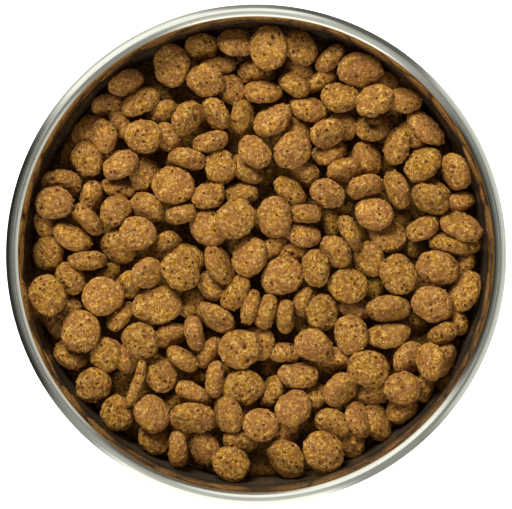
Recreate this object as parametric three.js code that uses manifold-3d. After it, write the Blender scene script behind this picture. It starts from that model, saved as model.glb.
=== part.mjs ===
// A pet food bowl pressed from steel sheet, full of dry kibble.
// Millimetres, +Z up. The origin is the centre of the flat ring that the bowl stands on.
import * as THREE from 'three';
import { mergeVertices } from 'three/addons/utils/BufferGeometryUtils.js';
import Module from 'manifold-3d';

const wasm = await Module();
wasm.setup();

// Sizes of the bowl. Its sheet is measured along the middle of its thickness.
const RIM_DIAMETER = 168;
const BOWL_HEIGHT = 55;
const SHEET = 0.6;
const WALL_LEAN = 9;
const CORNER_RADIUS = 13;
const BEAD_DIAMETER = 3.9;
const BEAD_SWEEP = 290;
const FOOT_WIDTH = 12;
const PANEL_RISE = 1.8;
const PANEL_SLOPE = 4;
const BOWL_SEGMENTS = 48;
const BEAD_STEPS = 9;
const CORNER_STEPS = 5;

// Sizes of the kibble and of the heap. The heap's top is measured down from the rim.
const KIBBLE_DIAMETER = 13;
const KIBBLE_THICKNESS = 6.5;
const KIBBLE_OVAL = 0.93;
const KIBBLE_SQUARENESS = 2.5;
const HEAP_BELOW_RIM = 10;
const HEAP_FALL = 1.2;
const BED_BELOW_HEAP = 9;
const LEVEL_STEP = 4;
const BED_BITE = 0.6;
const CLEARANCE = 0.3;
const PITCH = 8;
const OUTLINE_WAVE = 0.02;
const BED_SEGMENTS = 24;
const CROWN_STEPS = 4;
const BEDDED_SIDES = 7;
const BEDDED_BANDS = 3;
const LOOSE_SIDES = 10;
const LOOSE_BANDS = 4;

// How a loose kibble is laid: the balls that stand for its form, how far it may shift and tilt
// while it settles, in millimetres and degrees, and how far from there its true seat may be.
const RING_BALLS = 12;
const SETTLE_STEPS = 90;
const SETTLE_SHIFT = 1.2;
const SETTLE_TILT = 8;
const SHIFT_COST = 0.25;
const TILT_COST = 12;
const SEAT_REACH = 2.5;
const NEAR = 1.5 * KIBBLE_DIAMETER;

// How many times a place is worked out again until it holds, and the smallest lengths told apart
const PASSES = 4;
const HALVINGS = 9;
const MERGE = 1e-3;
const TINY = 1e-9;

// What the places below were laid out for: the wall's radius at the heap, and the kibble.
const LAYOUT_RADIUS = 78.5;
const LAYOUT_DIAMETER = 13;

const STEEL = new THREE.MeshStandardMaterial({ color: 0xb9bab4, roughness: 0.15, metalness: 1 });
const KIBBLE = new THREE.MeshStandardMaterial({ color: 0xa5743a, roughness: 0.85, metalness: 0 });
const CRUST = new THREE.MeshStandardMaterial({ color: 0x8a5f2e, roughness: 0.9, metalness: 0 });

// Each row is one kibble as it shows from above: its centre x and y, its length and width,
// and the direction of its length in degrees from +X. Lower ones come first.
// Kibbles half hidden under others, one level down
const HALF_HIDDEN = [
  [-51, 51, 11.5, 8, 170], [-58.5, 43.5, 12.5, 8.5, 40], [-46, 44.5, 11, 6.5, 115],
  [-32, 48.5, 11.5, 7, 22], [-30, 40, 11.5, 8, 140], [-38, 27.5, 12.5, 10, 100], [-13, 65, 12.5, 7, 5],
  [-8.5, 56.5, 11, 9, 110], [0, 62, 13, 8, 170], [15, 63, 11.5, 6.5, 140], [22, 59.5, 12, 6, 22],
  [-4.5, 47, 12, 8.5, 78], [14, 42, 12, 10.5, 100], [25, 35, 12.5, 8, 25], [-2.5, 29.5, 13, 9.5, 140],
  [16.5, 27.5, 12, 8.5, 155], [44, 59.5, 11, 7, 165], [39.5, 44, 13, 10, 8], [53.5, 41, 11, 7, 120],
  [38, 33, 12.5, 8.5, 130], [29, 44, 12, 9, 140], [-72, 10.5, 11, 7, 100], [-56, 20, 11.5, 7.5, 75],
  [-46.5, 23, 12.5, 7, 175], [-71, 0.5, 12, 10.5, 95], [-64, -19, 12, 7.5, 60],
  [-70.5, -24, 11.5, 7, 120], [-46.5, -21, 11.5, 7, 60], [-42.5, -10.5, 12, 9, 20],
  [-47, 2.5, 13, 10.5, 150], [-31, 2.5, 12, 9, 35], [-5, 21, 11.5, 7.5, 175], [6, 3, 11.5, 6.5, 58],
  [12.5, 0, 11.5, 8, 8], [-23.5, -1.5, 12, 9.5, 150], [-15, -11, 11.5, 8, 140], [-22.5, -16.5, 11, 8, 60],
  [17, -16, 11.5, 8, 70], [61.5, 22.5, 13, 6, 142], [70, 18, 11, 6.5, 12], [45, 6.5, 13.5, 10.5, 150],
  [72.5, 3, 10.5, 6.5, 20], [38.5, -1.5, 12.5, 11, 110], [70, -3, 11, 8, 60], [69, -22.5, 11, 7, 120],
  [33.5, -18, 11.5, 7.5, 165], [-63.5, -34, 12.5, 9.5, 150], [-43, -35, 11.5, 9, 60],
  [-29.5, -27.5, 12.5, 8, 20], [-32.5, -41, 12, 11, 100], [-35.5, -64, 12, 9.5, 140],
  [1, -30, 12.5, 10.5, 110], [-16, -33.5, 12, 7, 45], [-18, -66, 12.5, 10, 130], [-5.5, -64, 12, 8, 170],
  [5.5, -46.5, 11.5, 7, 60], [10, -33.5, 11.5, 6.5, 178], [27.5, -35.5, 11.5, 7, 160],
  [19.5, -47.5, 11.5, 8, 150], [11, -60, 11, 8, 60], [51.5, -54, 12, 9, 40], [40, -47.5, 12, 8, 10],
  [42, -58, 13.5, 9, 110], [32.5, -66, 11.5, 9.5, 140], [58, -45.5, 11, 6.5, 75],
];
// Kibbles in full view that stand on edge or lean deep between others
const WEDGED = [
  [-44.5, 58.5, 12.5, 7.5, 27], [-39.5, 52, 14.5, 8, 28], [-23.5, 32.5, 13, 7, 172],
  [25.5, 67.5, 12, 6.5, 52], [2.5, 55.5, 13.5, 7.5, 172], [13, 58, 11.5, 7, 145],
  [18, 49.5, 13.5, 8, 155], [-13.5, 48, 12.5, 7.5, 130], [-15.5, 38.5, 12.5, 6.5, 12],
  [48, 37, 13, 8, 75], [59.5, 44.5, 15.5, 8, 132], [30, 28.5, 12.5, 8, 12], [-57.5, 12, 13, 6.5, 132],
  [-62.5, 6, 14.5, 8, 148], [-57.5, -2, 13, 6.5, 175], [-63, -8, 12, 8.5, 135], [-25.5, 14, 11.5, 7, 10],
  [-16, 9, 13.5, 12, 135], [11.5, 21.5, 12.5, 7.5, 145], [16.5, 14, 12, 6.5, 178], [16, 7, 13, 8, 165],
  [-12.5, -3.5, 14.5, 8, 125], [-7, -13, 13.5, 8, 62], [-14, -21.5, 14.5, 8, 148], [-2, -18, 12.5, 6, 72],
  [3.5, -19.5, 12, 6.5, 78], [10, -21, 11.5, 6, 85], [37, 23, 12.5, 7.5, 18], [48, 22, 13.5, 7.5, 110],
  [32, 7.5, 12.5, 6, 122], [57, 9, 12, 7, 22], [66, 4, 14.5, 7, 168], [45, -18.5, 15.5, 8.5, 3],
  [-25, -35.5, 12, 6.5, 152], [-27, -67.5, 12, 6.5, 100], [-21, -27, 12, 6.5, 100],
  [-14, -42.5, 12.5, 6.5, 75], [-21.5, -47.5, 12.5, 7, 150], [-9.5, -54.5, 13, 9, 115],
  [10.5, -69.5, 15, 10.5, 135], [45, -27.5, 15.5, 8, 8], [66, -37, 12.5, 7, 68], [63.5, -27, 11, 6.5, 25],
  [35, -56, 13, 8, 115], [-67, 24.5, 14, 8.5, 172], [-57.5, 32.5, 12, 10.5, 120],
  [-52, 40.5, 11.5, 9, 105], [-12, 30, 12, 11, 100], [-37, 16, 12, 9, 145], [27, 1, 12, 9, 125],
  [71, -12.5, 14.5, 9.5, 70], [-51, -34, 12, 11, 120], [-55.5, -44.5, 12.5, 12, 0],
  [-4.5, -45, 14.5, 12.5, 5], [14.5, -41, 14, 8.5, 175], [26, -58, 13, 10, 140],
  [-8.5, -72.5, 13, 11.5, 160], [52, -35, 12.5, 9, 40], [-19, 72, 11.5, 8, 170],
];
// Kibbles that lie loose on the heap
const LOOSE = [
  [-48.5, 30.5, 13, 8.5, 20], [-7, 72, 13, 8.5, 178], [17, 71, 13, 10, 125], [-24, 46, 12.5, 8.5, 50],
  [50.5, 53, 12, 8, 172], [68, 27, 13, 9.5, 112], [-69, 16.5, 13, 11, 172], [-48.5, 15, 11, 10, 30],
  [-38, -6.5, 11.5, 9, 20], [-16, 20.5, 11.5, 8, 5], [23, 20, 12, 10, 160], [20, -3.5, 13, 9, 95],
  [31, -10.5, 13.5, 11.5, 165], [23, -19.5, 12.5, 10, 75], [71, 10, 15, 9, 158], [60, -17, 14, 12, 165],
  [-47, -54, 12.5, 11, 110], [-35.5, -54, 13.5, 10.5, 110], [2.5, -58.5, 12.5, 11.5, 0],
  [12, -51.5, 13, 12, 45], [28.5, -46.5, 13, 9, 45], [59.5, -35, 12.5, 9, 105], [51, -46, 13, 11.5, 20],
  [24.5, 41, 12, 9, 30], [6, 45.5, 14, 9, 32], [0, 35.5, 12.5, 9.5, 130], [56.5, 31.5, 13.5, 10.5, 35],
  [58.5, 18.5, 13.5, 9, 145], [-29, 65.5, 14.5, 12.5, 95], [-40, 39.5, 12.5, 12, 0],
  [6, 70, 15, 13.5, 90], [-19, 59, 13, 11, 170], [27.5, 53.5, 13, 10, 175], [12, 36, 13.5, 12, 60],
  [34.5, 63.5, 15.5, 11, 172], [38.5, 52, 13, 10, 35], [-71.5, -13, 14, 13, 120],
  [-52.5, -13.5, 14.5, 13.5, 10], [-58, -26, 14.5, 14, 90], [-32.5, -18, 17, 13.5, 5],
  [-41, 7, 12.5, 12, 0], [-29.5, 23.5, 14.5, 13.5, 0], [-27, -6, 14, 12.5, 130], [-8, 12, 14.5, 13, 60],
  [4.5, 14, 14.5, 12, 80], [-3, 1, 14, 11.5, 75], [8, -8, 15, 13, 35], [40, 14, 13, 11, 170],
  [62, -5, 14.5, 12.5, 160], [49, -9, 14, 13, 110], [-40, -30, 13, 11.5, 140], [-4.5, -32, 15, 13.5, 0],
  [-21.5, -57.5, 16, 10.5, 5], [19, -30, 13, 11, 155], [21.5, -69, 15, 13.5, 140],
  [31, -28, 13.5, 11.5, 100], [39, -39.5, 14.5, 13, 160],
];
// The one broken flake that stands on its edge, with its depth as a share of its length
const FLAKE = [-40.5, -45, 16.5, 2.8, 78];
const FLAKE_OVAL = 0.45;

const radians = THREE.MathUtils.degToRad;
const lean = radians(WALL_LEAN);
const beadRadius = (BEAD_DIAMETER - SHEET) / 2;
const beadCentre = new THREE.Vector2((RIM_DIAMETER - BEAD_DIAMETER) / 2, BOWL_HEIGHT - BEAD_DIAMETER / 2);
const wallTop = new THREE.Vector2(-Math.cos(lean), Math.sin(lean)).multiplyScalar(beadRadius).add(beadCentre);
const cornerHeight = SHEET / 2 + CORNER_RADIUS;
const cornerCentre = new THREE.Vector2(
  wallTop.x - (CORNER_RADIUS + (wallTop.y - cornerHeight) * Math.sin(lean)) / Math.cos(lean),
  cornerHeight,
);

// Radius of the wall's middle at a height
function wallRadius(height) {
  return wallTop.x - (wallTop.y - height) * Math.tan(lean);
}

// The same random numbers each time, from 0 to 1
let randomState = 20;
function random() {
  randomState = (Math.imul(1664525, randomState) + 1013904223) >>> 0;
  return randomState / 2 ** 32;
}
function spread(reach) {
  return (2 * random() - 1) * reach;
}

// Points of an arc, from one angle to the other in degrees, without the first
function arc(centre, radius, from, to, steps) {
  return Array.from({ length: steps }, (_, step) => {
    const angle = radians(from + ((to - from) * (step + 1)) / steps);
    return new THREE.Vector2(centre.x + radius * Math.cos(angle), centre.y + radius * Math.sin(angle));
  });
}

// The line of the sheet from the axis to the foot of the bead: panel, foot ring, corner, wall
function sheetLine() {
  const middle = SHEET / 2;
  const footInside = cornerCentre.x - FOOT_WIDTH;
  return [
    new THREE.Vector2(0, middle + PANEL_RISE),
    new THREE.Vector2(footInside - PANEL_SLOPE, middle + PANEL_RISE),
    new THREE.Vector2(footInside, middle),
    new THREE.Vector2(cornerCentre.x, middle),
    ...arc(cornerCentre, CORNER_RADIUS, -90, -WALL_LEAN, CORNER_STEPS),
    wallTop.clone(),
  ];
}

// A line moved sideways by a distance, to its left as it is drawn
function offsetLine(line, distance) {
  return line.map((point, index) => {
    const before = line[Math.max(index - 1, 0)];
    const after = line[Math.min(index + 1, line.length - 1)];
    const into = point.clone().sub(before);
    const out = after.clone().sub(point);
    const first = (into.lengthSq() ? into : out).clone().normalize();
    const second = (out.lengthSq() ? out : into).clone().normalize();
    const along = first.clone().add(second).normalize();
    const reach = distance / along.dot(first);
    return new THREE.Vector2(point.x - along.y * reach, point.y + along.x * reach);
  });
}

// An outline of radii and heights, turned about the upright axis
function turned(outline, segments) {
  return new THREE.LatheGeometry(outline, segments).rotateX(Math.PI / 2);
}

// The pressed bowl: one sheet, rolled outward into a bead at the rim that stays open inside
function bowlGeometry() {
  const roll = arc(beadCentre, beadRadius, 180 - WALL_LEAN, 180 - WALL_LEAN - BEAD_SWEEP, BEAD_STEPS);
  const line = [...sheetLine(), ...roll];
  const inside = offsetLine(line, SHEET / 2);
  const outside = offsetLine(line, -SHEET / 2);
  return turned([...outside, ...inside.reverse()], BOWL_SEGMENTS);
}

// Height of the heap's top and of the packed lower layers, by distance from the axis
const heapRadius = wallRadius(BOWL_HEIGHT - HEAP_BELOW_RIM - HEAP_FALL - KIBBLE_THICKNESS / 2);
function heapTop(distance) {
  return BOWL_HEIGHT - HEAP_BELOW_RIM - HEAP_FALL * (distance / heapRadius) ** 2;
}
function bedTop(distance) {
  return heapTop(distance) - BED_BELOW_HEAP;
}

// The packed lower layers, standing clear of the bowl all round
function bedCore() {
  const line = offsetLine(sheetLine(), SHEET / 2 + CLEARANCE);
  const wallFoot = line[line.length - 2];
  const wallHead = line[line.length - 1];
  let [below, above] = [0, 1];
  for (let step = 0; step < HALVINGS; step += 1) {
    const middle = (below + above) / 2;
    const point = wallFoot.clone().lerp(wallHead, middle);
    if (point.y < bedTop(point.x)) below = middle;
    else above = middle;
  }
  const edge = wallFoot.clone().lerp(wallHead, below);
  const crown = Array.from({ length: CROWN_STEPS }, (_, step) => {
    const distance = edge.x * (1 - (step + 1) / CROWN_STEPS);
    return new THREE.Vector2(distance, bedTop(distance));
  });
  return turned([...line.slice(0, -1), edge, ...crown], BED_SEGMENTS);
}

// How a kibble lies, worked out from how it shows from above: its half sizes, and its tilt
// about its own length. One that shows narrower than its face is tilted by as much. A face is
// nearly round up to the usual diameter, and a longer one grows no wider.
function kibbleFromRow([x, y, length, width, turn], oval = KIBBLE_OVAL) {
  const spacing = heapRadius / LAYOUT_RADIUS;
  const size = KIBBLE_DIAMETER / LAYOUT_DIAMETER;
  const shown = width / length;
  const thickness = Math.min(KIBBLE_THICKNESS, width * size);
  const thin = thickness / (length * size);
  const face = Math.max(Math.min(oval, LAYOUT_DIAMETER / length), shown);
  const flatness = (shown ** 2 - thin ** 2) / (face ** 2 - thin ** 2);
  return {
    x: x * spacing,
    y: y * spacing,
    half: new THREE.Vector3(length, face * length, thickness / size).multiplyScalar(size / 2),
    turn: radians(turn),
    tilt: Math.acos(Math.sqrt(THREE.MathUtils.clamp(flatness, 0, 1))) * (random() < 0.5 ? -1 : 1),
    pitch: radians(spread(PITCH)),
    wave: random() * 2 * Math.PI,
  };
}

// The turn of a kibble from its own axes, length along X and thickness along Z
function orientation({ turn, tilt, pitch }) {
  return new THREE.Quaternion()
    .setFromAxisAngle(new THREE.Vector3(0, 0, 1), turn)
    .multiply(new THREE.Quaternion().setFromAxisAngle(new THREE.Vector3(1, 0, 0), tilt))
    .multiply(new THREE.Quaternion().setFromAxisAngle(new THREE.Vector3(0, 1, 0), pitch));
}

// Balls that stand for a kibble, from its centre: a ring round the rim, and one in the middle
function ballsOf(kibble) {
  const lie = orientation(kibble);
  const { x, y, z } = kibble.half;
  const radius = Math.min(z, y);
  const ring = Array.from({ length: RING_BALLS }, (_, step) => {
    const angle = (2 * Math.PI * step) / RING_BALLS;
    const at = new THREE.Vector3((x - radius) * Math.cos(angle), (y - radius) * Math.sin(angle), 0);
    return { at: at.applyQuaternion(lie), radius };
  });
  return [{ at: new THREE.Vector3(), radius: z }, ...ring];
}

// The corners of a kibble's form, from its centre, as balls of no size
function cornersOf(form, { x, y, z }) {
  const { position } = form.attributes;
  return Array.from({ length: position.count }, (_, index) => {
    const corner = new THREE.Vector3().fromBufferAttribute(position, index);
    return { at: corner.sub(new THREE.Vector3(x, y, z)), radius: 0 };
  });
}

// How far a ball of a kibble reaches into the wall or its clearance
function intoWall({ x, y, z }, { at, radius }) {
  const reach = (radius + CLEARANCE + SHEET / 2) / Math.cos(lean);
  return Math.hypot(x + at.x, y + at.y) + reach - wallRadius(z + at.z);
}

// Moves a kibble towards the middle until its balls or corners are clear of the wall
function clearOfWall(kibble, balls) {
  const moved = { ...kibble };
  for (let pass = 0; pass < PASSES; pass += 1) {
    const deepest = Math.max(0, ...balls.map((ball) => intoWall(moved, ball)));
    const pull = 1 - deepest / Math.max(Math.hypot(moved.x, moved.y), deepest + 1);
    moved.x *= pull;
    moved.y *= pull;
  }
  return moved;
}

// How low a kibble can come down on the bed, the wall and the kibbles that lie already
function restHeight(x, y, balls, lying) {
  let height = -Infinity;
  const near = lying.filter((other) => Math.hypot(other.x - x, other.y - y) < NEAR);
  for (const { at, radius } of balls) {
    const reach = radius + CLEARANCE;
    const distance = Math.hypot(x + at.x, y + at.y);
    height = Math.max(height, bedTop(distance) + reach - at.z);
    height = Math.max(height, intoWall({ x, y, z: 0 }, { at, radius }) / Math.tan(lean));
    for (const other of near) {
      for (const ball of other.balls) {
        const apart = reach + ball.radius;
        const aside = (x + at.x - other.x - ball.at.x) ** 2 + (y + at.y - other.y - ball.at.y) ** 2;
        if (aside < apart * apart) {
          const over = Math.sqrt(apart * apart - aside);
          height = Math.max(height, other.z + ball.at.z + over - at.z);
        }
      }
    }
  }
  return height;
}

// Lets a kibble come nearly to rest: small shifts and tilts are kept while they bring it lower
function settle(kibble, lying) {
  const level = heapTop(Math.hypot(kibble.x, kibble.y)) - kibble.half.z;
  const balls = ballsOf(kibble);
  const start = clearOfWall({ ...kibble, balls, z: level }, balls);
  let best = { ...start, z: restHeight(start.x, start.y, balls, lying) };
  let bestCost = best.z;
  for (let step = 0; step < SETTLE_STEPS; step += 1) {
    const reach = 1 - step / SETTLE_STEPS;
    const next = {
      ...best,
      x: best.x + spread(SETTLE_SHIFT * reach),
      y: best.y + spread(SETTLE_SHIFT * reach),
      tilt: best.tilt + radians(spread(SETTLE_TILT * reach)),
      pitch: best.pitch + radians(spread(SETTLE_TILT * reach)),
    };
    next.balls = ballsOf(next);
    next.z = restHeight(next.x, next.y, next.balls, lying);
    const shift = Math.hypot(next.x - start.x, next.y - start.y);
    const leaned = Math.hypot(next.tilt - start.tilt, next.pitch - start.pitch);
    const cost = next.z + SHIFT_COST * shift ** 2 + TILT_COST * leaned ** 2;
    if (cost < bestCost) {
      best = next;
      bestCost = cost;
    }
  }
  return best;
}

// Finds a kibble's own seat above or below where it settled: as low as it goes while it is
// clear of each solid, so its form is grown by the clearance for the test
function seat(kibble, solids) {
  const grown = { ...kibble, half: kibble.half.clone().addScalar(CLEARANCE) };
  let [low, high] = [kibble.z - SEAT_REACH, kibble.z + SEAT_REACH];
  for (let step = 0; step < HALVINGS; step += 1) {
    const z = (low + high) / 2;
    const form = solidOf(kibbleGeometry({ ...grown, z }, LOOSE_SIDES, LOOSE_BANDS));
    if (solids.every((solid) => solid.intersect(form).isEmpty())) high = z;
    else low = z;
  }
  return { ...kibble, z: high };
}

// A kibble's form: a puffed disc, square at its edge, with a slightly wavy outline
function kibbleGeometry(kibble, sides, bands) {
  const geometry = new THREE.SphereGeometry(1, sides, bands).rotateX(Math.PI / 2);
  const widest = Math.sin((Math.floor(bands / 2) * Math.PI) / bands);
  const position = geometry.attributes.position;
  const point = new THREE.Vector3();
  const round = (value) => Math.sign(value) * Math.abs(value) ** (2 / KIBBLE_SQUARENESS);
  for (let index = 0; index < position.count; index += 1) {
    point.fromBufferAttribute(position, index);
    const out = Math.hypot(point.x, point.y) / widest;
    const angle = Math.atan2(point.y, point.x);
    const wavy = 1 - OUTLINE_WAVE * (1 + Math.cos(3 * angle + kibble.wave));
    const grow = (wavy * round(out)) / Math.max(out * widest, TINY);
    position.setXYZ(index, point.x * grow, point.y * grow, round(point.z));
  }
  geometry.scale(kibble.half.x, kibble.half.y, kibble.half.z);
  geometry.applyQuaternion(orientation(kibble));
  return geometry.translate(kibble.x, kibble.y, kibble.z);
}

// A closed mesh as a solid that can be joined, and back again
function solidOf(geometry) {
  const bare = geometry.clone();
  bare.deleteAttribute('normal');
  bare.deleteAttribute('uv');
  const { attributes, index } = mergeVertices(bare, MERGE);
  const triVerts = Uint32Array.from(index.array);
  return new wasm.Manifold(
    new wasm.Mesh({ numProp: 3, vertProperties: attributes.position.array, triVerts }),
  );
}
function geometryOf(solid) {
  const { vertProperties, triVerts } = solid.getMesh();
  return new THREE.BufferGeometry()
    .setAttribute('position', new THREE.BufferAttribute(vertProperties, 3))
    .setIndex(new THREE.BufferAttribute(triVerts, 1))
    .toNonIndexed();
}

// Kibbles grown together with the packed bed. Each one's top lies level with the heap, or
// a step lower, and each one reaches down far enough to bite into the bed.
function beddedKibbles(rows, level) {
  return rows.map((row) => {
    const kibble = { ...kibbleFromRow(row), z: 0 };
    const form = kibbleGeometry(kibble, BEDDED_SIDES, BEDDED_BANDS);
    form.computeBoundingBox();
    const distance = Math.hypot(kibble.x, kibble.y);
    const levelled = heapTop(distance) - level * LEVEL_STEP - form.boundingBox.max.z;
    const bitten = bedTop(distance) - BED_BITE - form.boundingBox.min.z;
    const placed = { ...kibble, balls: ballsOf(kibble), z: Math.min(levelled, bitten) };
    return clearOfWall(placed, cornersOf(form, kibble));
  });
}

// The bed in one piece. What its kibbles seal in comes out of the join as a body of its own
// that is less than nothing, and is left out, so the bed is solid.
const bedded = [...beddedKibbles(HALF_HIDDEN, 1), ...beddedKibbles(WEDGED, 0)];
const joined = wasm.Manifold.union([
  solidOf(bedCore()),
  ...bedded.map((kibble) => solidOf(kibbleGeometry(kibble, BEDDED_SIDES, BEDDED_BANDS))),
]);
const bed = wasm.Manifold.union(joined.decompose().filter((body) => body.volume() > 0));
const bowl = bowlGeometry();

// Each loose kibble in turn comes to rest on the bed, the wall and those laid before it
const loose = [...LOOSE.map((row) => kibbleFromRow(row)), kibbleFromRow(FLAKE, FLAKE_OVAL)];
const laid = [];
loose.forEach((kibble) => {
  const settled = settle(kibble, [...bedded, ...laid]);
  const around = laid.filter(({ x, y }) => Math.hypot(x - settled.x, y - settled.y) < NEAR);
  const seated = seat(settled, [bed, solidOf(bowl), ...around.map(({ solid }) => solid)]);
  const geometry = kibbleGeometry(seated, LOOSE_SIDES, LOOSE_BANDS);
  laid.push({ ...seated, geometry, solid: solidOf(geometry) });
});

function named(name, geometry, material) {
  const mesh = new THREE.Mesh(geometry, material);
  mesh.name = name;
  return mesh;
}

const group = new THREE.Group();
group.add(named('bowl', bowl, STEEL));
group.add(named('kibble_bed', geometryOf(bed), CRUST));
laid.forEach(({ geometry }, index) => {
  const last = index === laid.length - 1;
  const name = last ? 'kibble_flake' : `kibble_${String(index + 1).padStart(2, '0')}`;
  group.add(named(name, geometry, KIBBLE));
});

export default group;
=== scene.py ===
import itertools
import math

import bpy
import numpy as np
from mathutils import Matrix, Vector


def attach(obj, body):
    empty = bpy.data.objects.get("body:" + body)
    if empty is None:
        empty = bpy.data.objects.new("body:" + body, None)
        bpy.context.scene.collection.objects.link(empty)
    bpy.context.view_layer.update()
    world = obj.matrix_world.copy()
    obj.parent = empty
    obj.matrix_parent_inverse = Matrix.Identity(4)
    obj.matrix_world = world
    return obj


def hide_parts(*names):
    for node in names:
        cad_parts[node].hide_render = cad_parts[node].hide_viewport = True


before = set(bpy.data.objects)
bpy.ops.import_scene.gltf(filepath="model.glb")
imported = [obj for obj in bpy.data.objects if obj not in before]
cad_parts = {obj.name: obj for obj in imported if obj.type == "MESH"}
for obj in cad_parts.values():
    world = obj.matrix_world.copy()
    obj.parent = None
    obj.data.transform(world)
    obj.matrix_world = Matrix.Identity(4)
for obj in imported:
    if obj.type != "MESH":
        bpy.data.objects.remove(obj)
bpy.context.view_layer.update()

MM = 0.001
BODY = "root"

# The bowl's sizes, as its solid has them
RIM_DIAMETER = 168
BOWL_HEIGHT = 55
SHEET = 0.6
WALL_LEAN = 9
CORNER_RADIUS = 13
BEAD_DIAMETER = 3.9
BEAD_SWEEP = 290
FOOT_WIDTH = 12
PANEL_RISE = 1.8
PANEL_SLOPE = 4
# The flare under the bead, which only the fine surface has: the bead is this wide, the wall stands
# upright above a soft waist, and then leans outward by this much where it meets the bead.
# The waist's arc starts this many degrees before the wall's lean.
BEAD_WIDTH = 4.6
FLARE_LEAN = 22
FLARE_RADIUS = 18
WAIST_RADIUS = 25
WAIST_LEAD = 0.5
# A painted dim brown reflection of the kibble on the inside wall: how far under the rim it starts, and
# how soft its edge is
PAINTED_REFLECTION_BELOW_RIM = 1.5
PAINTED_REFLECTION_EDGE = 2

# The kibble's and the heap's sizes, as the solids have them. A kibble is tipped along its length
# by up to PITCH, and the random numbers start from DRAWS_START.
KIBBLE_DIAMETER = 13
KIBBLE_THICKNESS = 6.5
KIBBLE_OVAL = 0.93
KIBBLE_SQUARENESS = 2.5
HEAP_BELOW_RIM = 10
HEAP_FALL = 1.2
BED_BELOW_HEAP = 9
LEVEL_STEP = 4
BED_BITE = 0.6
CLEARANCE = 0.3
PITCH = 8
OUTLINE_WAVE = 0.02
BEDDED_SIDES = 7
RING_BALLS = 12
PASSES = 4
LAYOUT_RADIUS = 78.5
LAYOUT_DIAMETER = 13
DRAWS_START = 20

# How fine the meshes are: bowl steps round and along, and squares along a kibble's cube edge
BOWL_SEGMENTS = 256
BEAD_STEPS = 40
FLARE_STEPS = 10
CORNER_STEPS = 12
LOOSE_CUTS = 21
BEDDED_CUTS = 16
DEEP_CUTS = 6
CRUMB_CUTS = 2

# A kibble's fine surface: how much larger it is than its faceted solid, the waves of its outline
# (how many go round and how deep they are, as a share), and its lumps (their height and width)
FINE_GROWTH = np.array([1.03, 1.03, 1.02])
OUTLINE_WAVES = ((1, 0.02), (2, 0.012), (3, 0.016), (4, 0.01), (5, 0.009), (7, 0.006))
LUMPS = ((0.24, 4.2), (0.2, 2.0), (0.24, 1.1))
NOISE_REACH = 500
# The dents: the fewest and one past the most, the range of their widths and depths, and their
# section, a hollow with a low raised edge
DENT_NUMBER = (1, 6)
DENT_WIDTH = (0.5, 1.0)
DENT_DEPTH = (0.4, 0.8)
DENT_SHARPNESS = 1.6
EDGE_HEIGHT = 0.3
EDGE_DISTANCE = 1.5
EDGE_SHARPNESS = 4
# How far a listed crater may lie from the surface's points, and how much it faces up there
CRATER_REACH = 0.8
CRATER_FACING = 0.3
# The broken flake is a little longer and thicker than its solid, curved, and has lower lumps
FLAKE_GROWTH = np.array([1.08, 1.0, 1.4])
FLAKE_BEND = -1.2
FLAKE_CALM = 0.4
# Crumbs that stick to the kibbles: how many on a loose and on a bedded one, and how they are formed
LOOSE_CRUMBS = 9
BEDDED_CRUMBS = 5
CRUMB_SIZE = (0.22, 0.5)
CRUMB_UNEVEN = (0.7, 1.3)
CRUMB_TONE = 1.6
CRUMB_RELIEF = 0.2
# The tones of the kibbles that show from above, and the darker ones of the deep kibbles, which are
# painted shade
SHOWN_TONES = (0, 1)
DEEP_SHADE_TONES = (-0.9, -0.3)
# Into how many pieces the bedded and the deep kibbles are parted, and where each kind's seeds start
BEDDED_PIECES = 4
DEEP_PIECES = 2
LOOSE_SEED = 100
BEDDED_SEED = 300
DEEP_SEED = 400
SEED_STEP = 1000

# How the deeper layers are filled: how many kibbles, how many places are tried for each, how far
# under the heap's top the lowest one may lie, and the least share and the spread of their lengths
# (of the diameter) and widths (of the length)
FILL_KIBBLES = 270
FILL_TRIES = 12
FILL_DEPTH = 20
FILL_LENGTH = (0.9, 0.2)
FILL_WIDTH = (0.55, 0.4)
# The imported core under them: how deep its top lies under the heap's, how fine and lumpy it is, and
# how near to its top and its edge the lumps reach
CORE_DEPTH = 14
CORE_RINGS = 40
CORE_SEGMENTS = 160
CORE_LUMPS = 1.6
CORE_LUMP_WIDTH = 7
CORE_TOP_BAND = 0.5
CORE_EDGE_BAND = 1
# The core's low tone and relief paint it dark: painted shade under the kibbles
CORE_SHADE_TONE = -1
CORE_SHADE_RELIEF = -0.4

# The photograph's frame and where the rim lies in it, in pixels
PHOTO_WIDTH = 512
RIM_WIDTH = 500.8
RIM_RIGHT_OF_MIDDLE = 0.1
RIM_ABOVE_MIDDLE = -0.1
CAMERA_ABOVE_RIM = 1000
SENSOR = 36
NEAREST_SEEN = 0.01
FARTHEST_SEEN = 10

# Colours as they look on a screen, from 0 to 255
KIBBLE_DARK = (114, 68, 14)
KIBBLE_GOLDEN = (181, 128, 38)
KIBBLE_PALE = (231, 190, 114)
KIBBLE_PURPLE = (146, 94, 56)
KIBBLE_FLECK = (250, 222, 156)
# The pore colour is painted shade in the kibbles' pits
KIBBLE_PORE_SHADE = (66, 34, 12)
# The hollow colour is painted shade in the kibbles' hollows
KIBBLE_HOLLOW_SHADE = (72, 38, 10)
STEEL_DULL = (196, 196, 182)
STEEL_BRIGHT = (214, 214, 201)
# The brown that the inner wall is tinted with: a painted reflection of the kibble
STEEL_PAINTED_REFLECTION = (176, 148, 104)
STEEL_MARK = (70, 70, 68)
WHITE = (1, 1, 1, 1)
FLOOR_WHITE = (0.8, 0.8, 0.8, 1)

# How many lumps of each pattern there are along a metre, and how far the drift moves a pattern
PATCHES = 340
MOTTLES = 850
GRAINS = 2400
FLECKS = 1100
PORES = 560
DRIFT = 0.0009
SPIN_LINES = 2600
SPIN_WANDER = 0.02
STAINS = 70
MARKS = 1500
MARK_LENGTH = 0.5
WORN_PLACES = 45
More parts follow.
